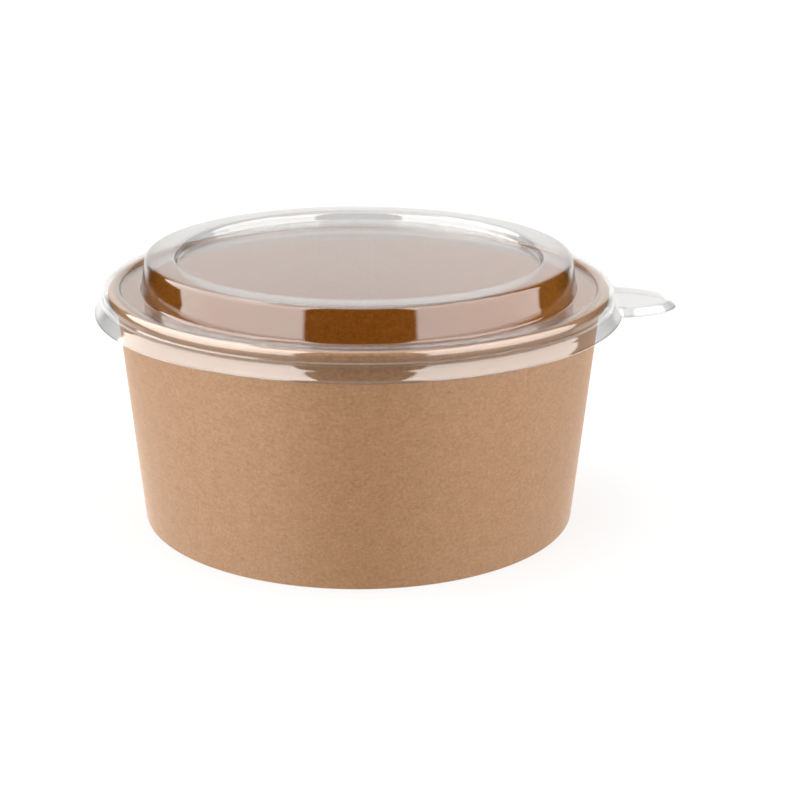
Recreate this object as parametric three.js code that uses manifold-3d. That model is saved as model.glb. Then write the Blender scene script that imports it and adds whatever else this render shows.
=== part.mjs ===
// A round paper salad bowl with its clear press-on lid, in millimetres, +Z up.
// The bowl is a rolled side wall with a curled rim and, let into its foot, a base disc. The lid is
// one formed sheet: a recessed panel, a raised ring, a ledge, a cap over the curled rim, a flared
// skirt and a pull tab. The origin is the middle of the whole part's footprint, on the table.

import * as THREE from 'three';
import { mergeVertices } from 'three/addons/utils/BufferGeometryUtils.js';
import Module from 'manifold-3d';

const wasm = await Module();
wasm.setup();

// Driving dimensions. R is a radius from the bowl's own axis, Z a height above the table.
const PAPER = 0.45; // thickness of the bowl's board
const LID_SHEET = 0.45; // thickness of the lid's clear sheet
const GAP = 0.3; // between two pieces that touch

const FOOT_R = 66.07; // outside of the wall at the table
const WALL_SLOPE = 0.0955; // outward run of the wall for each millimetre of height
const RIM_R = 75; // outside of the curled rim: 150 mm across
const RIM_TOP_Z = 71.8;
const RIM_CURL_HEIGHT = 3.8;
const FLOOR_Z = 6.5; // top of the base disc
const HEM_TOP_Z = 5.3; // the wall's foot is folded in and up to here, inside the disc's flange
const FLANGE_END_Z = 0.9; // lower edge of the disc's turned-down flange
const FOLD_ROUND = 0.3; // middle of the board, where the wall's foot folds
const DISC_ROUND = 0.7; // middle of the board, where the disc turns down
const CURL_END = THREE.MathUtils.degToRad(-112); // where the curl stops, seen from its middle
const SEAM_WIDTH = 7; // where the wall's two ends lap, at the back
const SEAM_TOP_Z = 67.2;

const PANEL_R = 54.4; // recessed middle of the lid
const PANEL_Z = 78.2;
const CREST_Z = 81.1; // top of the raised ring
const CREST_INNER_R = 54.8;
const DOME_R = 63.7; // outside of the raised ring at its top
const DOME_FOOT_R = 65.3;
const LEDGE_Z = 71;
const LEDGE_R = 71.1;
const CAP_INNER_R = 71.5; // the cap that sits on the curled rim
const CAP_R = 76.45;
const CAP_TOP_Z = 72.7;
const CAP_FOOT_R = 76.7;
const CAP_FOOT_Z = 68;
const SKIRT_KNEE_R = 77.8;
const SKIRT_KNEE_Z = 66.1;
const SKIRT_R = 79.07;
const SKIRT_Z = 64.6;
const PANEL_ROUND = 0.6; // foot of the step up to the raised ring
const CREST_INNER_ROUND = 1.8;
const DOME_ROUND = 1.8;
const DOME_FOOT_ROUND = 0.8;
const LEDGE_ROUND = 0.7;
const CAP_INNER_ROUND = 1.5;
const CAP_ROUND = 2;
const CAP_FOOT_ROUND = 1.2;
const SKIRT_ROUND = 3;

const TAB_X = 76; // the tab's flat top is half an ellipse round this spot
const TAB_REACH = 17.8;
const TAB_HALF = 12.4;
const TAB_TOP_Z = 66.8;
const TAB_FLARE = 2.2; // how far its turned-down edge reaches out
const TAB_EDGE_ROUND = 0.8; // where its edge turns down
const TAB_ROOT_X = 72; // inside the skirt
const CUT_PAST = 1; // how far the hollow runs on below the lid's edge, so that it opens cleanly

const SEGMENTS = 64; // round the bowl's axis
const ARC_STEP = THREE.MathUtils.degToRad(45); // longest step round a corner
const CURL_STEPS = 10;
const TAB_STEPS = 12;

// The tab reaches out past the skirt, so the bowl's axis stands left of the footprint's middle.
const AXIS_X = (SKIRT_R - TAB_X - TAB_REACH - TAB_FLARE) / 2;

// A path through corners [x, y, radius], with each corner that has a radius rounded by an arc.
function roundedPath(corners) {
  const at = corners.map(([x, y]) => new THREE.Vector2(x, y));
  const path = [];
  corners.forEach(([, , radius], i) => {
    if (!radius) {
      path.push(at[i]);
      return;
    }
    const back = at[i - 1].clone().sub(at[i]).normalize();
    const ahead = at[i + 1].clone().sub(at[i]).normalize();
    const half = Math.acos(THREE.MathUtils.clamp(back.dot(ahead), -1, 1)) / 2;
    const turn = Math.sign(ahead.cross(back)) * (Math.PI - 2 * half);
    const cut = radius / Math.tan(half);
    const centre = back.clone().add(ahead).normalize().multiplyScalar(radius / Math.sin(half)).add(at[i]);
    const spoke = back.multiplyScalar(cut).add(at[i]).sub(centre);
    const steps = Math.ceil(Math.abs(turn) / ARC_STEP);
    for (let k = 0; k <= steps; k++) {
      const spot = spoke.clone().rotateAround(new THREE.Vector2(), (turn * k) / steps);
      path.push(spot.add(centre));
    }
  });
  return path;
}

// The path moved to its left by a distance.
function moved(path, distance) {
  return path.map((p, i) => {
    const into = i ? p.clone().sub(path[i - 1]).normalize() : null;
    const out = i < path.length - 1 ? path[i + 1].clone().sub(p).normalize() : null;
    const along = (into ?? out).clone().add(out ?? into).normalize();
    const stretch = 1 / along.dot(into ?? out);
    return new THREE.Vector2(-along.y, along.x).multiplyScalar(distance * stretch).add(p);
  });
}

// A sheet of even thickness that follows a path. One that starts on the axis ends on it too.
function sheet(path, thickness) {
  const left = moved(path, thickness / 2);
  const right = moved(path, -thickness / 2);
  const outline = [...right, ...left.reverse()];
  return path[0].x === 0 ? outline : [...outline, outline[0]];
}

// A profile of (radius, height) points turned round the bowl's axis.
function turned(profile) {
  const facesOut = THREE.ShapeUtils.area(profile) > 0;
  const points = facesOut ? profile : [...profile].reverse();
  return new THREE.LatheGeometry(points, SEGMENTS).rotateX(Math.PI / 2);
}

// A stack of outlines with equally many points, at rising heights, closed at both ends.
function lofted(rings) {
  const count = rings[0].outline.length;
  const corners = rings.flatMap(({ outline, z }) => outline.map((p) => [p.x, p.y, z])).flat();
  const faces = [];
  for (let ring = 0; ring < rings.length - 1; ring++) {
    for (let k = 0; k < count; k++) {
      const a = ring * count + k;
      const b = ring * count + ((k + 1) % count);
      faces.push(a, b, b + count, a, b + count, a + count);
    }
  }
  const top = (rings.length - 1) * count;
  for (const [a, b, c] of THREE.ShapeUtils.triangulateShape(rings[0].outline, [])) {
    faces.push(a, c, b, top + a, top + b, top + c);
  }
  const geometry = new THREE.BufferGeometry();
  geometry.setAttribute('position', new THREE.Float32BufferAttribute(corners, 3));
  geometry.setIndex(faces);
  return geometry;
}

// A geometry as a solid that can be joined and cut, and back again.
function solid(geometry) {
  const bare = geometry.clone();
  bare.deleteAttribute('normal');
  bare.deleteAttribute('uv');
  const merged = mergeVertices(bare, 1e-3);
  const mesh = new wasm.Mesh({
    numProp: 3,
    vertProperties: merged.getAttribute('position').array,
    triVerts: new Uint32Array(merged.index.array),
  });
  return new wasm.Manifold(mesh);
}

function geometryOf(manifold) {
  const { vertProperties, triVerts } = manifold.getMesh();
  const geometry = new THREE.BufferGeometry();
  geometry.setAttribute('position', new THREE.BufferAttribute(vertProperties, 3));
  geometry.setIndex(new THREE.BufferAttribute(triVerts, 1));
  geometry.computeVertexNormals();
  return geometry;
}

const wallOutside = (z) => FOOT_R + WALL_SLOPE * z;

// The side wall is one strip of board. From the hem's free edge it runs down, round the foot, up
// the wall and over into the curl, whose end stops just short of the wall.
function sideWall() {
  const wallMiddle = (z) => wallOutside(z) - PAPER / 2;
  const hemMiddle = (z) => wallMiddle(z) - 2 * PAPER - 2 * GAP;
  const curlReach = (RIM_R - wallMiddle(RIM_TOP_Z - RIM_CURL_HEIGHT / 2) - PAPER / 2) / 2;
  const curlRise = (RIM_CURL_HEIGHT - PAPER) / 2;
  const curlR = RIM_R - PAPER / 2 - curlReach;
  const curlZ = RIM_TOP_Z - RIM_CURL_HEIGHT / 2;

  const strip = roundedPath([
    [hemMiddle(HEM_TOP_Z), HEM_TOP_Z],
    [hemMiddle(PAPER / 2), PAPER / 2, FOLD_ROUND],
    [wallMiddle(PAPER / 2), PAPER / 2, FOLD_ROUND],
    [wallMiddle(SEAM_TOP_Z), SEAM_TOP_Z],
  ]);
  for (let k = 0; k <= CURL_STEPS; k++) {
    const angle = THREE.MathUtils.lerp(Math.PI, CURL_END, k / CURL_STEPS);
    strip.push(new THREE.Vector2(curlR + curlReach * Math.cos(angle), curlZ + curlRise * Math.sin(angle)));
  }

  const lap = [0, SEAM_TOP_Z].map((z) => new THREE.Vector2(wallOutside(z), z));
  const lapShell = solid(turned(sheet(lap, 2 * PAPER)));
  const atBack = new THREE.BoxGeometry(SEAM_WIDTH, RIM_R, 2 * RIM_TOP_Z).translate(0, RIM_R / 2, 0);
  const aboveTable = new THREE.BoxGeometry(2 * RIM_R, 2 * RIM_R, RIM_TOP_Z).translate(0, 0, RIM_TOP_Z / 2);
  const seam = lapShell.intersect(solid(atBack)).intersect(solid(aboveTable));
  return solid(turned(sheet(strip, PAPER))).add(seam);
}

// The base disc is a flat floor with its edge turned down into the fold of the wall's foot.
function baseDisc() {
  const flangeMiddle = (z) => wallOutside(z) - 1.5 * PAPER - GAP;
  const strip = roundedPath([
    [0, FLOOR_Z - PAPER / 2],
    [flangeMiddle(FLOOR_Z), FLOOR_Z - PAPER / 2, DISC_ROUND],
    [flangeMiddle(FLANGE_END_Z), FLANGE_END_Z],
  ]);
  return solid(turned(sheet(strip, PAPER)));
}

// The tab's outline in plan, from its root to its round tip and back.
function tabOutline() {
  const outline = [new THREE.Vector2(TAB_ROOT_X, -TAB_HALF)];
  for (let k = 0; k <= TAB_STEPS; k++) {
    const angle = Math.PI * (k / TAB_STEPS - 0.5);
    outline.push(new THREE.Vector2(TAB_X + TAB_REACH * Math.cos(angle), TAB_HALF * Math.sin(angle)));
  }
  outline.push(new THREE.Vector2(TAB_ROOT_X, TAB_HALF));
  return outline;
}

// The tab as a block, its skin moved in by inset and its flared edge run on down past the skirt's.
function tabBlock(inset, past) {
  const fall = TAB_TOP_Z - SKIRT_Z;
  const edge = moved(
    roundedPath([
      [-TAB_FLARE, TAB_TOP_Z],
      [0, TAB_TOP_Z, TAB_EDGE_ROUND],
      [TAB_FLARE * (1 + past / fall), SKIRT_Z - past],
    ]),
    -inset,
  );
  const outline = tabOutline();
  const rings = edge.reverse().map(({ x, y }) => ({ outline: moved(outline, -x), z: y }));
  return solid(lofted(rings));
}

// The lid is the form on the outside of the sheet, less the same form one sheet further in.
function lid() {
  const skin = roundedPath([
    [0, PANEL_Z],
    [PANEL_R, PANEL_Z, PANEL_ROUND],
    [CREST_INNER_R, CREST_Z, CREST_INNER_ROUND],
    [DOME_R, CREST_Z, DOME_ROUND],
    [DOME_FOOT_R, LEDGE_Z, DOME_FOOT_ROUND],
    [LEDGE_R, LEDGE_Z, LEDGE_ROUND],
    [CAP_INNER_R, CAP_TOP_Z, CAP_INNER_ROUND],
    [CAP_R, CAP_TOP_Z, CAP_ROUND],
    [CAP_FOOT_R, CAP_FOOT_Z, CAP_FOOT_ROUND],
    [SKIRT_KNEE_R, SKIRT_KNEE_Z, SKIRT_ROUND],
    [SKIRT_R, SKIRT_Z],
  ]);
  const inside = moved(skin, -LID_SHEET);
  const under = inside.at(-1).clone().add(new THREE.Vector2(CUT_PAST, -CUT_PAST));
  const outer = turned([...skin, new THREE.Vector2(0, SKIRT_Z)]);
  const inner = turned([...inside, under, new THREE.Vector2(0, under.y)]);
  const form = solid(outer).add(tabBlock(0, 0));
  return form.subtract(solid(inner).add(tabBlock(LID_SHEET, CUT_PAST)));
}

const kraft = new THREE.MeshStandardMaterial({ color: 0xb98f66, roughness: 0.9, metalness: 0 });
const clear = new THREE.MeshStandardMaterial({
  color: 0xf4f6f6,
  roughness: 0.05,
  metalness: 0,
  transparent: true,
  opacity: 0.3,
});

function piece(name, manifold, material) {
  const mesh = new THREE.Mesh(geometryOf(manifold), material);
  mesh.name = name;
  return mesh;
}

const saladBowl = new THREE.Group();
saladBowl.name = 'salad_bowl';
saladBowl.position.x = AXIS_X;
saladBowl.add(piece('side_wall', sideWall(), kraft));
saladBowl.add(piece('base_disc', baseDisc(), kraft.clone()));
saladBowl.add(piece('lid', lid(), clear));

const part = new THREE.Group();
part.add(saladBowl);

export default part;
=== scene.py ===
"""A round kraft paper salad bowl, closed by its clear press-on lid, on a plain pale table.

The sections follow the bowl as it is put together: the rolled side wall, the base disc let into its
foot, and the formed lid. The studio comes last. Lengths are in metres, in the frame of the CAD part,
but the lid is drawn in millimetres.
"""

import math
from functools import partial

import bmesh
import bpy
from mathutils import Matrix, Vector


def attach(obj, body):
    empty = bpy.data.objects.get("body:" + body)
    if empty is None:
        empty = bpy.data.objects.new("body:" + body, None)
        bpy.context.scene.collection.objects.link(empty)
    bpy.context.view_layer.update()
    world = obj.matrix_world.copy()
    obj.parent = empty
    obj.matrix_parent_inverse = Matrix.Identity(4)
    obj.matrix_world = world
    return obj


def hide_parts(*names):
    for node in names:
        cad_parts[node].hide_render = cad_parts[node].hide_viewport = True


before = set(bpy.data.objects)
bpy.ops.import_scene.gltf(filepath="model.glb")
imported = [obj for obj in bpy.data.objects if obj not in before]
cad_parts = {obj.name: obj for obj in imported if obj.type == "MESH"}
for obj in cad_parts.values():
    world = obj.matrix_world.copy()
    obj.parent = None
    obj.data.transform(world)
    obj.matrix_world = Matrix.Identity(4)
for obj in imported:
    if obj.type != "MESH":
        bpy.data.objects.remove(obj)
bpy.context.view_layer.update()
MM = 0.001


# --- Side wall ---------------------------------------------------------------------------------
# One strip of brown kraft board, rolled into a tapered ring. Its ends lap at the back, its top is
# curled outwards into the rim, and its foot is folded in and up to clasp the base disc.

BOARD = 0.45 * MM
AXIS_X = -8.465 * MM  # the bowl's own axis; the lid's tab shifts the footprint's middle off it
FOOT_R = 66.07 * MM
WALL_SLOPE = 0.0955
RIM_R = 75 * MM
RIM_TOP = 71.8 * MM
CURL_HEIGHT = 3.8 * MM
CURL_START = 67.2 * MM
CURL_END = math.radians(-112)
HEM_TOP = 5.3 * MM
FOLD_GAP = 0.3 * MM
FOLD_ROUND = 0.3 * MM

LAP_WIDTH = 7 * MM
LAP_EDGE = 0.06 * MM  # width over which the outer cut edge of the board steps
LAP_SKIVE = 2 * MM  # the inner end is thinned out over this width
LAP_PRESSED = 0.3  # and pressed down to this share of its thickness
LAP_EASE = 7 * MM  # the outer layer comes back to the wall over this length
LAP_FADE = 2 * MM  # and under the curl over this height
LAP_DEPTH = 0.75 * BOARD  # the wall's own layer lies within this of its middle, the hem further in

STEPS_ROUND = 288
CORNER_STEPS = 6
CURL_STEPS = 40
LAP_STEPS = 6
POLE_JOIN = 0.001 * MM
CUT_NEAR = 0.0001 * MM
BOARD_SHARP = math.radians(40)

KRAFT = (0.287, 0.1355, 0.0438)
KRAFT_ROUGHNESS = 0.5
KRAFT_IOR = 1.55
INNER_FILM_AND_PAINTED_LIGHT = (1.3, 1.05, 0.26)  # the inner face's tint: the grease-proof film deepens the brown, and painted light brightens its red, standing in for the light inside the bowl
INNER_GLOSS = 0.3  # the inner face's gloss, beside the outer face's
CLOUD = (260, 3, 0.7)  # scale, detail and roughness of the ground's soft clouds
GRAIN = (950, 3, 0.8)  # and of its fine grain
CLOUD_SHARE, GRAIN_SHARE = 0.32, 0.68
TONE_ENDS = (0.3, 0.7)  # the ground goes from dark to light between these
TONE_SWING = (0.32, 0.42, 0.85)  # blue swings most, so that the grain looks neutral
# Fibres: the way they lie in degrees, their shade against the ground, and how much of it shows.
FIBRES = ((12, 0.6, 0.45), (-38, 0.62, 0.35), (71, 0.58, 0.35), (-80, 1.45, 0.4), (30, 1.5, 0.35))
FIBRE_SCALE = (520, 2400, 1)  # each is a short streak, nearly five times as long as it is wide
FIBRE_NOISE = (1, 2, 0.5)
FIBRE_ENDS = (0.6, 0.76)  # only the peaks of that noise are fibres
RELIEF = 0.22  # how strongly the grain stands out in the light
RELIEF_HEIGHT = 0.06 * MM


def turned_board():
    """A tree that turns a bare profile, its corners rounded, into a sheet round the bowl's axis."""
    tree = bpy.data.node_groups.new("turned_board", "GeometryNodeTree")
    for name, way, kind in (
        ("Profile", "INPUT", "Geometry"),
        ("Axis X", "INPUT", "Float"),
        ("Rail radius", "INPUT", "Float"),
        ("Steps round", "INPUT", "Int"),
        ("Corner steps", "INPUT", "Int"),
        ("Finish", "INPUT", "Material"),
        ("Sheet", "OUTPUT", "Geometry"),
    ):
        tree.interface.new_socket(name, in_out=way, socket_type="NodeSocket" + kind)
    new, link = tree.nodes.new, tree.links.new
    given, out = new("NodeGroupInput"), new("NodeGroupOutput")

    line = new("GeometryNodeMeshToCurve")
    link(given.outputs["Profile"], line.inputs["Mesh"])
    rounding = new("GeometryNodeInputNamedAttribute")
    rounding.data_type = "FLOAT"
    rounding.inputs["Name"].default_value = "rounding"
    fillet = new("GeometryNodeFilletCurve")
    fillet.mode = "POLY"
    fillet.inputs["Limit Radius"].default_value = True
    link(line.outputs["Curve"], fillet.inputs["Curve"])
    link(rounding.outputs["Attribute"], fillet.inputs["Radius"])
    link(given.outputs["Corner steps"], fillet.inputs["Count"])

    # A sweep draws its profile outwards from the rail, with Y pointing down.
    inwards = new("ShaderNodeMath")
    inwards.operation = "MULTIPLY"
    inwards.inputs[1].default_value = -1
    link(given.outputs["Rail radius"], inwards.inputs[0])
    offset = new("ShaderNodeCombineXYZ")
    link(inwards.outputs[0], offset.inputs["X"])
    flat = new("GeometryNodeTransform")
    flat.inputs["Rotation"].default_value = (math.pi / 2, 0, 0)
    link(fillet.outputs["Curve"], flat.inputs["Geometry"])
    link(offset.outputs[0], flat.inputs["Translation"])

    rail = new("GeometryNodeCurvePrimitiveCircle")
    link(given.outputs["Steps round"], rail.inputs["Resolution"])
    link(given.outputs["Rail radius"], rail.inputs["Radius"])
    sweep = new("GeometryNodeCurveToMesh")
    link(rail.outputs["Curve"], sweep.inputs["Curve"])
    link(flat.outputs["Geometry"], sweep.inputs["Profile Curve"])

    to_axis = new("ShaderNodeCombineXYZ")
    link(given.outputs["Axis X"], to_axis.inputs["X"])
    placed = new("GeometryNodeTransform")
    link(sweep.outputs["Mesh"], placed.inputs["Geometry"])
    link(to_axis.outputs[0], placed.inputs["Translation"])
    pole = new("GeometryNodeMergeByDistance")
    pole.inputs["Distance"].default_value = POLE_JOIN
    link(placed.outputs["Geometry"], pole.inputs["Geometry"])
    real = new("GeometryNodeRealizeInstances")
    link(pole.outputs["Geometry"], real.inputs["Geometry"])
    finish = new("GeometryNodeSetMaterial")
    link(real.outputs["Geometry"], finish.inputs["Geometry"])
    link(given.outputs["Finish"], finish.inputs["Material"])
    link(finish.outputs["Geometry"], out.inputs["Sheet"])
    return tree


def board_piece(name, corners, finish):
    """A plain mesh of board: the profile [radius, height, rounding] turned, then thickened."""
    mesh = bpy.data.meshes.new(name)
    stretches = [(i, i + 1) for i in range(len(corners) - 1)]
    mesh.from_pydata([(r, 0, z) for r, z, _ in corners], stretches, [])
    rounding = mesh.attributes.new("rounding", "FLOAT", "POINT")
    for i, (_, _, radius) in enumerate(corners):
        rounding.data[i].value = radius
    piece = bpy.data.objects.new(name, mesh)
    bpy.context.scene.collection.objects.link(piece)
    turn = piece.modifiers.new("turn", "NODES")
    turn.node_group = turned
    settings = {
        "Axis X": AXIS_X,
        "Rail radius": FOOT_R,
        "Steps round": STEPS_ROUND,
        "Corner steps": CORNER_STEPS,
        "Finish": finish,
    }
    for item in turned.interface.items_tree:
        if item.name in settings:
            turn[item.identifier] = settings[item.name]
    thick = piece.modifiers.new("thickness", "SOLIDIFY")
    thick.thickness = BOARD
    thick.offset = 0
    thick.use_even_offset = True
    made_plain(piece)
    return piece


def made_plain(piece):
    """Leaves the piece as one plain mesh, with nothing of its modifiers."""
    graph = bpy.context.evaluated_depsgraph_get()
    mesh = bpy.data.meshes.new_from_object(piece.evaluated_get(graph), depsgraph=graph)
    mesh.name = piece.name
    piece.modifiers.clear()
    bare = piece.data
    piece.data = mesh
    bpy.data.meshes.remove(bare)


def smooth_but_edges(piece, angle):
    """Shades the piece smooth, apart from edges sharper than the angle."""
    piece.data.shade_smooth()
    piece.data.set_sharp_from_angle(angle=angle)


def reckon(tree, operation, *values):
    """A sum over numbers and sockets, as a new socket of the tree."""
    node = tree.nodes.new("ShaderNodeMath")
    node.operation = operation
    for socket, value in zip(node.inputs, values):
        if isinstance(value, (int, float)):
            socket.default_value = value
        else:
            tree.links.new(value, socket)
    return node.outputs[0]


def carried(tree, value, start, end, low=0, high=1, smooth=False):
    """The socket's value, carried from the range start to end over to the range low to high."""
    node = tree.nodes.new("ShaderNodeMapRange")
    if smooth:
        node.interpolation_type = "SMOOTHSTEP"
    for name, number in (("From Min", start), ("From Max", end), ("To Min", low), ("To Max", high)):
        node.inputs[name].default_value = number
    tree.links.new(value, node.inputs["Value"])
    return node.outputs["Result"]


def kraft_finish(name, round_wall):
    """Matte brown kraft board: pale and dark fibres in a softly clouded ground.

    Its inner face has a thin film against grease, which deepens the brown; that face is also painted
    brighter in its red, as painted light for the light inside the bowl.
    """
    finish = bpy.data.materials.new(name)
    finish.use_nodes = True
    finish.diffuse_color = (*KRAFT, 1)
    tree = finish.node_tree
    new, link, calc = tree.nodes.new, tree.links.new, partial(reckon, tree)
    shader = tree.nodes["Principled BSDF"]
    shader.inputs["Roughness"].default_value = KRAFT_ROUGHNESS
    shader.inputs["IOR"].default_value = KRAFT_IOR

    where = new("ShaderNodeTexCoord").outputs["Object"]
    if round_wall:
        # The board as it lay flat: the arc round the wall, from the front, and the height.
        split = new("ShaderNodeSeparateXYZ")
        link(where, split.inputs[0])
        across = calc("SUBTRACT", split.outputs["X"], AXIS_X)
        ahead = calc("MULTIPLY", split.outputs["Y"], -1)
        flat = new("ShaderNodeCombineXYZ")
        link(calc("MULTIPLY", calc("ARCTAN2", across, ahead), FOOT_R), flat.inputs["X"])
        link(split.outputs["Z"], flat.inputs["Y"])
        where = flat.outputs[0]

    def noise(spot, scale, detail, roughness):
        node = new("ShaderNodeTexNoise")
        node.inputs["Scale"].default_value = scale
        node.inputs["Detail"].default_value = detail
        node.inputs["Roughness"].default_value = roughness
        link(spot, node.inputs["Vector"])
        return node.outputs["Fac"]

    def fibres(turn):
        """Short fine streaks that lie one way, as a value from 0 to 1."""
        lay = new("ShaderNodeMapping")
        lay.inputs["Rotation"].default_value = (0, 0, math.radians(turn))
        lay.inputs["Scale"].default_value = FIBRE_SCALE
        link(where, lay.inputs["Vector"])
        return carried(tree, noise(lay.outputs[0], *FIBRE_NOISE), *FIBRE_ENDS)

    def laid_over(ground, way, share, colour):
        mix = new("ShaderNodeMix")
        mix.data_type = "RGBA"
        mix.blend_type = way
        mix.inputs["B"].default_value = (*colour, 1)
        link(share, mix.inputs["Factor"])
        link(ground, mix.inputs["A"])
        return mix.outputs["Result"]

    cloud = calc("MULTIPLY", noise(where, *CLOUD), CLOUD_SHARE)
    ground = calc("MULTIPLY_ADD", noise(where, *GRAIN), GRAIN_SHARE, cloud)
    tone = new("ShaderNodeValToRGB")
    for end, at, way in zip(tone.color_ramp.elements, TONE_ENDS, (-1, 1)):
        end.position = at
        end.color = (*[c * (1 + way * swing) for c, swing in zip(KRAFT, TONE_SWING)], 1)
    link(ground, tone.inputs["Fac"])
    colour = tone.outputs["Color"]
    for turn, shade, share in FIBRES:
        shown = calc("MULTIPLY", fibres(turn), share)
        colour = laid_over(colour, "MIX", shown, [min(c * shade, 1) for c in KRAFT])
    inner = new("ShaderNodeAttribute")
    inner.attribute_name = "inner_face"
    # Inner faces: the film's deeper brown, together with painted light that brightens the red inside
    # the bowl.
    colour = laid_over(colour, "MULTIPLY", inner.outputs["Fac"], INNER_FILM_AND_PAINTED_LIGHT)
    link(colour, shader.inputs["Base Color"])
    gloss = calc("MULTIPLY_ADD", inner.outputs["Fac"], INNER_GLOSS - 1, 1)
    link(gloss, shader.inputs["Specular IOR Level"])

    relief = new("ShaderNodeBump")
    relief.inputs["Strength"].default_value = RELIEF
    relief.inputs["Distance"].default_value = RELIEF_HEIGHT
    link(ground, relief.inputs["Height"])
    link(relief.outputs["Normal"], shader.inputs["Normal"])
    return finish


def wall_middle(z):
    """Radius of the middle of the wall's board at a height."""
    return FOOT_R + WALL_SLOPE * z - BOARD / 2


def wall_profile():
    """From the hem's free edge down, round the foot, up the wall and over into the curl."""
    hem_in = 2 * BOARD + 2 * FOLD_GAP
    corners = [
        (wall_middle(HEM_TOP) - hem_in, HEM_TOP, 0),
        (wall_middle(BOARD / 2) - hem_in, BOARD / 2, FOLD_ROUND),
        (wall_middle(BOARD / 2), BOARD / 2, FOLD_ROUND),
        (wall_middle(CURL_START), CURL_START, 0),
    ]
    centre_z = RIM_TOP - CURL_HEIGHT / 2
    reach = (RIM_R - wall_middle(centre_z) - BOARD / 2) / 2
    rise = (CURL_HEIGHT - BOARD) / 2
    centre_r = RIM_R - BOARD / 2 - reach
    for k in range(CURL_STEPS + 1):
        angle = math.pi + (CURL_END - math.pi) * k / CURL_STEPS
        corners.append((centre_r + reach * math.cos(angle), centre_z + rise * math.sin(angle), 0))
    return corners


def lap_ends(piece):
    """Lays one end of the board over the other at the back: a raw edge outside, one inside."""
    mesh = bmesh.new()
    mesh.from_mesh(piece.data)
    left = AXIS_X - LAP_WIDTH / 2
    cuts = [0, LAP_EDGE, LAP_WIDTH, LAP_WIDTH + LAP_SKIVE / 2, LAP_WIDTH + LAP_SKIVE]
    cuts += [LAP_WIDTH + LAP_EASE * k / LAP_STEPS for k in range(1, LAP_STEPS + 1)]
    for cut in cuts:
        behind = [f for f in mesh.faces if f.calc_center_median().y > 0]
        parts = list({part for f in behind for part in (f, *f.edges, *f.verts)})
        bmesh.ops.bisect_plane(
            mesh, geom=parts, dist=CUT_NEAR, plane_co=(left + cut, 0, 0), plane_no=(1, 0, 0)
        )
    for vert in mesh.verts:
        x, y, z = vert.co
        run = x - left
        radius = math.hypot(x - AXIS_X, y)
        in_lap = y > 0 and LAP_EDGE / 2 <= run <= LAP_WIDTH + LAP_EASE
        if not in_lap or z >= CURL_START or radius <= wall_middle(z) - LAP_DEPTH:
            continue
        ease = max(0, (run - LAP_WIDTH) / LAP_EASE)
        lift = BOARD * (1 - ease * ease * (3 - 2 * ease))
        if radius <= wall_middle(z):
            lift *= LAP_PRESSED * min(1, max(0, (run - LAP_WIDTH) / LAP_SKIVE))
        vert.co.y += lift * min(1, (CURL_START - z) / LAP_FADE)
    mesh.to_mesh(piece.data)
    mesh.free()


def mark_inner_face(piece, inside):
    """Keeps, corner by corner, which faces of the board look into the bowl."""
    mesh = piece.data
    mark = mesh.attributes.new("inner_face", "FLOAT", "CORNER")
    for face in mesh.polygons:
        if inside(face.center, face.normal):
            for corner in face.loop_indices:
                mark.data[corner].value = 1


def outward(at, way):
    """How far a face at that spot looks away from the bowl's axis."""
    return (at.x - AXIS_X) * way.x + at.y * way.y


turned = turned_board()
wall = board_piece("board_wall", wall_profile(), kraft_finish("kraft_wall", True))
lap_ends(wall)
mark_inner_face(wall, lambda at, way: outward(at, way) < 0 and at.z < CURL_START)
smooth_but_edges(wall, BOARD_SHARP)
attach(wall, "root")
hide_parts("side_wall")


# --- Base disc ---------------------------------------------------------------------------------
# The bowl's floor is a flat disc of the same board. Its edge is turned down and glued into the fold
# of the wall's foot, so the floor stands a little above the table.

FLOOR_TOP = 6.5 * MM
FLANGE_END = 0.9 * MM
DISC_ROUND = 0.7 * MM
FLOOR_DIP = 0.35 * MM  # the disc isn't quite flat: its middle hangs this much lower
DISC_RINGS = 12


def disc_profile():
    """From the floor's middle out to its edge, and down the flange."""
    rim = wall_middle(FLOOR_TOP) - BOARD - FOLD_GAP
    foot = wall_middle(FLANGE_END) - BOARD - FOLD_GAP
    middle = FLOOR_TOP - BOARD / 2
    corners = []
    for k in range(DISC_RINGS):
        share = k / DISC_RINGS
        dip = FLOOR_DIP * (math.cos(math.pi * share) + 1) / 2
        corners.append((rim * share, middle - dip, 0))
    return corners + [(rim, middle, DISC_ROUND), (foot, FLANGE_END, 0)]


disc = board_piece("board_base", disc_profile(), kraft_finish("kraft_base", False))
mark_inner_face(disc, lambda at, way: way.z > 0)
smooth_but_edges(disc, BOARD_SHARP)
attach(disc, "root")
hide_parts("base_disc")


# --- Lid ---------------------------------------------------------------------------------------
# One sheet of clear plastic, formed over a mould: a recessed panel in a raised ring, a ledge, a cap
# that is pressed over the curled rim, and a flared skirt that runs out into the pull tab on one side.

LID_SHEET = 0.45 * MM
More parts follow.
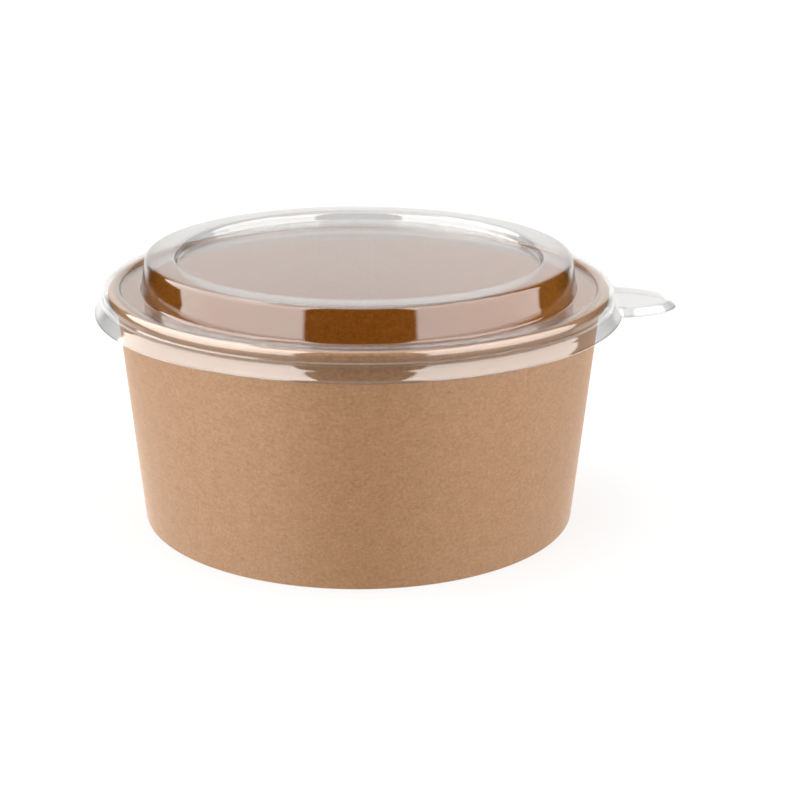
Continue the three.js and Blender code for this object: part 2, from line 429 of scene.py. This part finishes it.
# The drawing is in millimetres from the bowl's axis, on the sheet's outside: [radius, height], and
# in the profile the rounding of the corner too.
PANEL_IN = 6  # the panel's flat middle is closed from here
LID_PROFILE = (
    (54.4, 78.2, 0.6),  # edge of the recessed panel
    (54.8, 81.1, 1.8),  # inner edge of the raised ring
    (63.7, 81.1, 1.8),  # outer edge of the raised ring
    (65.3, 71, 0.8),  # foot of its wall
    (71.1, 71, 0.7),  # outer edge of the ledge
    (71.5, 72.7, 1.5),  # inner edge of the cap
    (76.45, 72.7, 2),  # shoulder of the cap
)
CAP_SIDE = ((76.35, 69.4), (76.9, 69.1), (76.95, 68.7), (76.75, 68.4), (76.75, 68.0))
SKIRT_TOP = (77.2, 67.1)
SKIRT_EDGE = (79.07, 64.6)
SKIRT_SAG = 0.18  # how hollow the skirt's flare is
NECK_SAG = 0.12  # and the neck between it and the cap
TAB_X = 76  # the tab's flat top is half an ellipse round this spot
TAB_REACH = 17.8
TAB_HALF = 12.4
TAB_TOP = 66.8
TAB_LEAD = 1.5  # its edge is followed from this many times the half angle that it takes up
TAB_ROOT_ROUND = 3  # in plan, where the tab leaves the skirt
TAB_ARC = range(78, 0, -3)  # degrees round the half ellipse
TAB_FLARE = (2.2, 0.8)  # how far its turned-down edge reaches out, and its rounding
TAB_FROM, TAB_BLEND = 0.1, 2.4  # reach past the plain skirt's where it begins, and takes to be whole
ROOT_FILLET = 1.2  # where the tab's flat top meets the cap's side

LATHE_STEP = 6  # between rings on the flat stretches
LATHE_TURN = math.radians(9)  # and round the corners
LID_COLUMN = math.radians(1.25)
TAB_STEP = 0.7  # between columns along the tab's edge
TAB_TURN = math.radians(8)
FLARE_TURN = math.radians(6)
SHORTEST_STEP = 0.05
FILLET_STEPS, PLATE_STEPS, FLARE_STEPS = 6, 10, 9
CUT_EDGE_ROWS = 2
LID_SHARP = math.radians(50)

CLEAR_HEAD_ON, CLEAR_GLANCING = 0.94, 0.9  # how much each face lets through
HAZE_FROM = 0.3  # the slant of the view where it begins to let through less
EDGE_SHADED_CLEARNESS = 0.86  # painted shade: the cut edge lets through less, for the dark line that light running along the sheet makes there
GLOSS_HEAD_ON = 0.049  # how much it mirrors there; at a glancing view it mirrors all
GLOSS_POWER = 5
GLOSS_ROUGHNESS = 0.03


def rounded_path(corners, longest_step):
    """A path through corners (x, y, radius), each rounded by an arc of short steps."""
    path = []
    for i, (x, y, radius) in enumerate(corners):
        at = Vector((x, y))
        if not radius or i in (0, len(corners) - 1):
            path.append(at)
            continue
        back = (Vector(corners[i - 1][:2]) - at).normalized()
        ahead = (Vector(corners[i + 1][:2]) - at).normalized()
        half = back.angle(ahead) / 2
        centre = at + (back + ahead).normalized() * (radius / math.sin(half))
        spoke = at + back * (radius / math.tan(half)) - centre
        turn = math.pi - 2 * half
        if ahead.x * back.y - ahead.y * back.x < 0:
            turn = -turn
        steps = math.ceil(abs(turn) / longest_step)
        for k in range(steps + 1):
            c, s = math.cos(turn * k / steps), math.sin(turn * k / steps)
            path.append(centre + Vector((spoke.x * c - spoke.y * s, spoke.x * s + spoke.y * c)))
    return path


def divided(path, step):
    """The path with its long stretches cut into even steps, and its shortest ones dropped."""
    points = [path[0]]
    for b in path[1:]:
        a = points[-1]
        if (b - a).length < SHORTEST_STEP:
            continue
        count = max(1, math.ceil((b - a).length / step))
        points += [a.lerp(b, k / count) for k in range(1, count + 1)]
    return points


def evenly(path, count):
    """The path as count equal steps."""
    run = [0]
    for a, b in zip(path, path[1:]):
        run.append(run[-1] + (b - a).length)
    points = []
    j = 0
    for k in range(count + 1):
        want = run[-1] * k / count
        while j < len(path) - 2 and run[j + 1] < want:
            j += 1
        points.append(path[j].lerp(path[j + 1], (want - run[j]) / (run[j + 1] - run[j])))
    return points


def tab_edge():
    """The edge of the tab's flat top in plan, from the skirt on one side to the skirt on the other."""
    root = math.asin(TAB_HALF / SKIRT_TOP[0])

    def on_skirt(angle):
        return (SKIRT_TOP[0] * math.cos(angle), SKIRT_TOP[0] * math.sin(angle))

    side = [(*on_skirt(root * TAB_LEAD), 0), (*on_skirt(root), TAB_ROOT_ROUND)]
    for degrees in TAB_ARC:
        angle = math.radians(degrees)
        side.append((TAB_X + TAB_REACH * math.cos(angle), TAB_HALF * math.sin(angle), 0))
    tip = (TAB_X + TAB_REACH, 0, 0)
    other = [(x, -y, radius) for x, y, radius in reversed(side)]
    return divided(rounded_path([*side, tip, *other], TAB_TURN), TAB_STEP)


def lid_lathe():
    """The round part's rings, from near the panel's middle down to the cap's foot."""
    corners = [(PANEL_IN, LID_PROFILE[0][1], 0), *LID_PROFILE, (*CAP_SIDE[0], 0)]
    rings = divided(rounded_path(corners, LATHE_TURN), LATHE_STEP)
    return [(ring.x, ring.y) for ring in rings] + list(CAP_SIDE[1:])


def tab_flare():
    """The tab's turned-down edge, as steps out from and down from its flat top's edge."""
    out, rounding = TAB_FLARE
    drop = TAB_TOP - SKIRT_EDGE[1]
    bend = rounded_path([(-out, 0, 0), (0, 0, rounding), (out, -drop, 0)], FLARE_TURN)
    return evenly(bend[1:], FLARE_STEPS)


def lid_columns():
    """Each column of the lid: its angle at the cap, and its point and outward way at the edge."""
    edge = tab_edge()
    start = math.atan2(edge[0].y, edge[0].x)
    run = [0]
    for a, b in zip(edge, edge[1:]):
        run.append(run[-1] + (b - a).length)
    columns = []
    for i, point in enumerate(edge):
        a, b = edge[max(i - 1, 0)], edge[min(i + 1, len(edge) - 1)]
        along = (b - a).normalized()
        out = Vector((-along.y, along.x))
        if i in (0, len(edge) - 1):
            out = point.normalized()
        columns.append((start - 2 * start * run[i] / run[-1], point, out))
    rest = 2 * math.pi - 2 * start
    count = round(rest / LID_COLUMN)
    for k in range(1, count):
        angle = -start - rest * k / count
        out = Vector((math.cos(angle), math.sin(angle)))
        columns.append((angle, out * SKIRT_TOP[0], out))
    return columns


def lid_rows(angle, edge, out):
    """One column of the lid's outside, from near its middle down to the free edge."""
    radial = Vector((math.cos(angle), math.sin(angle)))
    rows = [(radial * r, z) for r, z in lathe]
    foot_r, foot_z = CAP_SIDE[-1]
    foot = radial * foot_r
    reach = (edge - foot).length
    way = (edge - foot) / reach
    skirt_r, skirt_z = SKIRT_TOP
    share = min(1, max(0, (reach - (skirt_r - foot_r) - TAB_FROM) / TAB_BLEND))
    tabness = share * share * (3 - 2 * share)

    # From the cap's foot out to the top of the skirt, or over the tab's flat top.
    plate_end = reach + flare[0].x * tabness
    for k in range(1, FILLET_STEPS + PLATE_STEPS + 1):
        even = k / (FILLET_STEPS + PLATE_STEPS)
        plain_d = plate_end * even
        plain_z = foot_z + (skirt_z - foot_z) * even - NECK_SAG * math.sin(math.pi * even)
        turn = math.pi / 2 * min(1, k / FILLET_STEPS)
        plate = max(0, k - FILLET_STEPS) / PLATE_STEPS
        tab_d = ROOT_FILLET * (1 - math.cos(turn)) + (plate_end - ROOT_FILLET) * plate
        tab_z = foot_z + (TAB_TOP - foot_z) * math.sin(turn)
        d = plain_d + (tab_d - plain_d) * tabness
        rows.append((foot + way * d, plain_z + (tab_z - plain_z) * tabness))

    # Down the skirt's flare, or the tab's turned-down edge.
    for k in range(1, FLARE_STEPS + 1):
        even = k / FLARE_STEPS
        plain_o = (SKIRT_EDGE[0] - skirt_r) * even
        plain_z = skirt_z + (SKIRT_EDGE[1] - skirt_z) * even - SKIRT_SAG * math.sin(math.pi * even)
        o = plain_o + (flare[k].x - plain_o) * tabness
        rows.append((edge + out * o, plain_z + (TAB_TOP + flare[k].y - plain_z) * tabness))
    return [(AXIS_X + p.x * MM, p.y * MM, z * MM) for p, z in rows]


def lid_mesh():
    """The outside of the lid, with its cut edge marked."""
    columns = [lid_rows(*column) for column in lid_columns()]
    height = len(columns[0])
    verts = [p for column in columns for p in column]
    verts.append((AXIS_X, 0, LID_PROFILE[0][1] * MM))
    faces = []
    for i in range(len(columns)):
        a, b = i * height, (i + 1) % len(columns) * height
        faces.append((len(verts) - 1, b, a))
        faces += [(a + j, b + j, b + j + 1, a + j + 1) for j in range(height - 1)]
    mesh = bpy.data.meshes.new("clear_lid")
    mesh.from_pydata(verts, [], faces)
    mark = mesh.attributes.new("cut_edge", "FLOAT", "POINT")
    for i in range(len(columns) * height):
        mark.data[i].value = i % height >= height - CUT_EDGE_ROWS
    return mesh


def clear_finish():
    """Clear plastic sheet: seen straight through, with the studio mirrored in its gloss, and a painted
    shade line at its cut edge.
    """
    finish = bpy.data.materials.new("clear_sheet")
    finish.use_nodes = True
    tree = finish.node_tree
    tree.nodes.clear()
    new, link, calc = tree.nodes.new, tree.links.new, partial(reckon, tree)
    tilt = new("ShaderNodeLayerWeight")
    tilt.inputs["Blend"].default_value = 0.5
    slant = tilt.outputs["Facing"]
    # Painted shade: the rows at the cut edge let through less, as a dark line along the edge.
    edge = new("ShaderNodeAttribute")
    edge.attribute_name = "cut_edge"
    painted_edge_shade = calc("MULTIPLY_ADD", edge.outputs["Fac"], EDGE_SHADED_CLEARNESS - 1, 1)
    clear = carried(tree, slant, HAZE_FROM, 1, CLEAR_HEAD_ON, CLEAR_GLANCING)
    through = new("ShaderNodeBsdfTransparent")
    link(calc("MULTIPLY", clear, painted_edge_shade), through.inputs["Color"])
    gloss = new("ShaderNodeBsdfGlossy")
    gloss.inputs["Roughness"].default_value = GLOSS_ROUGHNESS
    mirrored = carried(tree, calc("POWER", slant, GLOSS_POWER), 0, 1, GLOSS_HEAD_ON, 1)
    sheet = new("ShaderNodeMixShader")
    link(mirrored, sheet.inputs[0])
    link(through.outputs[0], sheet.inputs[1])
    link(gloss.outputs[0], sheet.inputs[2])
    out = new("ShaderNodeOutputMaterial")
    link(sheet.outputs[0], out.inputs["Surface"])
    return finish


lathe = lid_lathe()
flare = tab_flare()
lid = bpy.data.objects.new("clear_lid", lid_mesh())
bpy.context.scene.collection.objects.link(lid)
lid.data.materials.append(clear_finish())
inward = lid.modifiers.new("thickness", "SOLIDIFY")
inward.thickness = LID_SHEET
inward.offset = -1
made_plain(lid)
smooth_but_edges(lid, LID_SHARP)
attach(lid, "root")
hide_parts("lid")


# --- Table and studio --------------------------------------------------------------------------
# A plain pale table, and round it two tall soft lamps, left and right of the camera, with a bright
# wall behind. They are parts of the world, so that they stand in the same place for every view.

TABLE_HALF = 6
TABLE_GREY = 0.2
TABLE_ROUGHNESS = 0.9
TABLE_GLOW = 0.72
SHADE_THROUGH_SHEET = 0.66  # painted shade: behind the clear sheet the white table shows greyer, standing in for the shade under the lid


def pale_finish():
    """A pale matte table with an even glow of its own, so that it looks white and keeps a shadow; its
    glow is painted lower behind the clear sheet, as shade.
    """
    finish = bpy.data.materials.new("pale_table")
    finish.use_nodes = True
    tree = finish.node_tree
    shader = tree.nodes["Principled BSDF"]
    shader.inputs["Base Color"].default_value = (TABLE_GREY, TABLE_GREY, TABLE_GREY, 1)
    shader.inputs["Roughness"].default_value = TABLE_ROUGHNESS
    shader.inputs["Emission Color"].default_value = (1, 1, 1, 1)
    # Painted shade: where it is seen through the clear sheet, the table glows less.
    behind = tree.nodes.new("ShaderNodeLightPath").outputs["Transparent Depth"]
    glow = carried(tree, behind, 0, 1, TABLE_GLOW, TABLE_GLOW * SHADE_THROUGH_SHEET)
    tree.links.new(glow, shader.inputs["Emission Strength"])
    return finish


bpy.ops.mesh.primitive_plane_add(size=2 * TABLE_HALF)
table = bpy.context.object
table.name = "table"
table.data.materials.append(pale_finish())
table.visible_glossy = False

# Places in the studio are in degrees: round from the camera's side, plus to the right, and up from
# the horizon, or down from it for the table. A SOFT is how far an edge fades to either side.
LIGHT = (0.8, 0.788, 0.773)  # the colour of it all, a little warm
LAMP_LEFT = (-108, -28)
LAMP_RIGHT = (29, 107)
LAMP_RIGHT_SHARE = 0.87
LAMP_LOW, LAMP_HIGH = -13, 64
LAMP_SOFT, LAMP_LOW_SOFT = 1.5, 3
LAMP_FOOT, LAMP_HEAD = 1.7, 2.4  # the lamps are brighter towards their tops
LAMP_GROWS = (5, 60)
LEAN_LEFT, LEAN_RIGHT = 1.1, 0.25  # how much further round the outer edge is, for each degree up
LEAN_FROM = -10
WALL = 0.45
WALL_FROM, WALL_TURN_SOFT = 149, 6
WALL_LOW, WALL_HIGH, WALL_SOFT = -40, 40, 4

DARK = 0.6  # the rest of the room, which lights the dull faces alone
OVERHEAD = 4  # and so does a lamp overhead
OVERHEAD_FROM, OVERHEAD_SOFT = 68, 4

IN_GLOSS = 3.8  # how much brighter the lamps show in gloss than they light
TABLE_IN_GLOSS = 0.45  # the pale table, as gloss mirrors it
TABLE_BELOW, TABLE_BELOW_SOFT = 14, 2
TABLE_BY_LAMPS = 1.4  # how much brighter it is to the sides, nearer by
TABLE_RIGHT_SHARE = 0.55
TABLE_NEAR, TABLE_NEAR_SOFT = 20, 6
PAST_LAMPS = 0.9  # and a strip of it past the lamps' outer edges
PAST_ROUND, PAST_ROUND_SOFT = (108, 140), (4, 10)
PAST_BELOW, PAST_BELOW_SOFT = (13, 26), (3, 4)
CEILING_IN_GLOSS = 3
CEILING_FROM, CEILING_SOFT = 68, 8

BACKDROP = 1.28  # what the camera itself sees behind the table: plain white


def studio_world():
    """All that stands round the table, by the direction in which it is seen from there."""
    world = bpy.data.worlds.new("studio")
    bpy.context.scene.world = world
    world.use_nodes = True
    tree = world.node_tree
    tree.nodes.clear()
    new, link, calc = tree.nodes.new, tree.links.new, partial(reckon, tree)

    def past(value, at, soft):
        """0 short of the place and 1 past it, with a soft edge."""
        return carried(tree, value, at - soft, at + soft, smooth=True)

    def short_of(value, at, soft):
        return calc("SUBTRACT", 1, past(value, at, soft))

    def between(value, ends, softs):
        return calc("MULTIPLY", past(value, ends[0], softs[0]), short_of(value, ends[1], softs[1]))

    split = new("ShaderNodeSeparateXYZ")
    link(new("ShaderNodeTexCoord").outputs["Generated"], split.inputs[0])
    x, y, z = split.outputs
    turn = calc("DEGREES", calc("ARCTAN2", x, calc("MULTIPLY", y, -1)))
    around = calc("ABSOLUTE", turn)
    rise = calc("DEGREES", calc("ARCSINE", z))
    fall = calc("MULTIPLY", rise, -1)

    # The two lamps, with upright inner edges and leaning outer ones.
    on_left = short_of(turn, LAMP_LEFT[1], LAMP_SOFT)
    on_right = past(turn, LAMP_RIGHT[0], LAMP_SOFT)
    leaning = calc("MAXIMUM", rise, LEAN_FROM)
    left_end = past(calc("MULTIPLY_ADD", leaning, LEAN_LEFT, turn), LAMP_LEFT[0], LAMP_SOFT)
    right_end = short_of(calc("MULTIPLY_ADD", leaning, -LEAN_RIGHT, turn), LAMP_RIGHT[1], LAMP_SOFT)
    left = calc("MULTIPLY", on_left, left_end)
    right = calc("MULTIPLY", on_right, right_end)
    lamps = calc("MULTIPLY_ADD", right, LAMP_RIGHT_SHARE, left)
    band = between(rise, (LAMP_LOW, LAMP_HIGH), (LAMP_LOW_SOFT, LAMP_SOFT))
    growing = carried(tree, rise, *LAMP_GROWS, LAMP_FOOT, LAMP_HEAD)
    lamps = calc("MULTIPLY", calc("MULTIPLY", lamps, band), growing)

    # The bright wall behind the bowl.
    wall = calc("MULTIPLY", past(around, WALL_FROM, WALL_TURN_SOFT), WALL)
    wall = calc("MULTIPLY", wall, between(rise, (WALL_LOW, WALL_HIGH), (WALL_SOFT, WALL_SOFT)))

    # What gloss mirrors besides: the table, brighter to the sides, and the ceiling.
    sides = calc("MULTIPLY_ADD", on_right, TABLE_RIGHT_SHARE, on_left)
    sides = calc("MULTIPLY", sides, past(fall, TABLE_NEAR, TABLE_NEAR_SOFT))
    strip = calc("MULTIPLY", between(around, PAST_ROUND, PAST_ROUND_SOFT), PAST_LAMPS)
    strip = calc("MULTIPLY", strip, between(fall, PAST_BELOW, PAST_BELOW_SOFT))
    mirrored = calc("MULTIPLY_ADD", sides, TABLE_BY_LAMPS, strip)
    below = past(fall, TABLE_BELOW, TABLE_BELOW_SOFT)
    mirrored = calc("MULTIPLY_ADD", below, TABLE_IN_GLOSS, mirrored)
    ceiling = past(rise, CEILING_FROM, CEILING_SOFT)
    mirrored = calc("MULTIPLY_ADD", ceiling, CEILING_IN_GLOSS, mirrored)

    # Gloss sees the lamps and the wall brighter, and in place of the room what it mirrors besides.
    seen = new("ShaderNodeLightPath")
    glossy = seen.outputs["Is Glossy Ray"]
    room = calc("MULTIPLY_ADD", past(rise, OVERHEAD_FROM, OVERHEAD_SOFT), OVERHEAD, DARK)
    room = calc("MULTIPLY", calc("SUBTRACT", 1, glossy), room)
    besides = calc("MULTIPLY_ADD", mirrored, glossy, room)
    brighter = calc("MULTIPLY_ADD", glossy, IN_GLOSS - 1, 1)
    total = calc("MULTIPLY_ADD", calc("ADD", lamps, wall), brighter, besides)
    shown = new("ShaderNodeMix")
    shown.inputs["B"].default_value = BACKDROP
    link(seen.outputs["Is Camera Ray"], shown.inputs["Factor"])
    link(total, shown.inputs["A"])
    glow = new("ShaderNodeBackground")
    glow.inputs["Color"].default_value = (*LIGHT, 1)
    link(shown.outputs["Result"], glow.inputs["Strength"])
    out = new("ShaderNodeOutputWorld")
    link(glow.outputs[0], out.inputs["Surface"])


studio_world()
bpy.context.scene.view_settings.view_transform = "Standard"

# The camera stands where the photograph's did: 18 degrees above the table, half a metre away.
CAMERA_RISE = math.radians(18.34)
CAMERA_AWAY = 555.1 * MM
AIM_HEIGHT = 33.9 * MM
CAMERA_YAW = math.radians(-1.293)
LENS = 81.1
lens = bpy.data.cameras.new("camera")
lens.lens = LENS
lens.sensor_width = 36
camera = bpy.data.objects.new("camera", lens)
bpy.context.scene.collection.objects.link(camera)
camera.location = (
    AXIS_X,
    -CAMERA_AWAY * math.cos(CAMERA_RISE),
    AIM_HEIGHT + CAMERA_AWAY * math.sin(CAMERA_RISE),
)
camera.rotation_euler = (math.pi / 2 - CAMERA_RISE, 0, 0)
camera.rotation_euler.rotate_axis("Y", CAMERA_YAW)
bpy.context.scene.camera = camera
